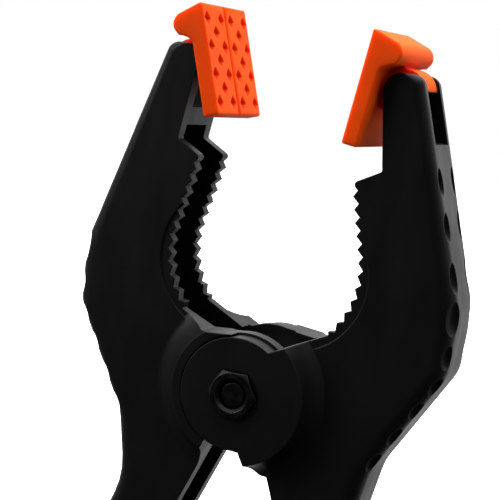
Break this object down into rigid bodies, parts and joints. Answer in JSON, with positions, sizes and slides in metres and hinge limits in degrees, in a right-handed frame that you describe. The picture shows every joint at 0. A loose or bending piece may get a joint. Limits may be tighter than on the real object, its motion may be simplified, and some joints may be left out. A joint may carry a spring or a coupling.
{
  "type": "spring clamp",
  "caption": "Hand spring clamp with two channel-section plastic arms, toothed jaws, a bolted pivot, a torsion spring and swivelling soft pads.",
  "frame": {"origin": "centre of the pivot, on the pivot axis and in the middle plane between the arms' side walls", "axes": "+Z from the pivot towards the jaws, along the middle line between the two arms; +Y along the pivot axis, towards the bolt head; +X towards the right arm"},
  "size_m": [0.0854, 0.0261, 0.1508],
  "materials": {
    "arm_plastic": "satin moulded glass-filled nylon",
    "pad_rubber": "soft translucent orange elastomer",
    "black_steel": "black oxide",
    "sleeve_plastic": "natural nylon",
    "spring_steel": "oiled spring wire"
  },
  "bodies": {
    "left_jaw": {"left_arm": "arm_plastic", "pivot_bolt": "black_steel", "spring_sleeve": "sleeve_plastic", "torsion_spring": "spring_steel"},
    "right_jaw": {"right_arm": "arm_plastic", "pivot_nut": "black_steel"},
    "left_swivel": {"left_pad": "pad_rubber"},
    "right_swivel": {"right_pad": "pad_rubber"}
  },
  "joints": [
    {"name": "jaw_pivot", "type": "hinge", "parent": "left_jaw", "child": "right_jaw", "pos_m": [0, 0, 0], "axis": [0, 1, 0], "range_deg": [-26.6, 38], "stiffness_Nm_per_rad": 2.4, "springref_deg": -80.21, "deforming": ["torsion_spring"]},
    {"name": "left_pad_swivel", "type": "hinge", "parent": "left_jaw", "child": "left_swivel", "pos_m": [-0.0199, 0, 0.056], "axis": [0, 1, 0], "range_deg": [-6.5, 4.6]},
    {"name": "right_pad_swivel", "type": "hinge", "parent": "right_jaw", "child": "right_swivel", "pos_m": [0.0199, 0, 0.056], "axis": [0, 1, 0], "range_deg": [-7.9, 5.5]}
  ],
  "couplings": [
    {"joint": "left_pad_swivel", "follows": "jaw_pivot", "ratio": -0.168},
    {"joint": "right_pad_swivel", "follows": "jaw_pivot", "ratio": -0.204}
  ]
}
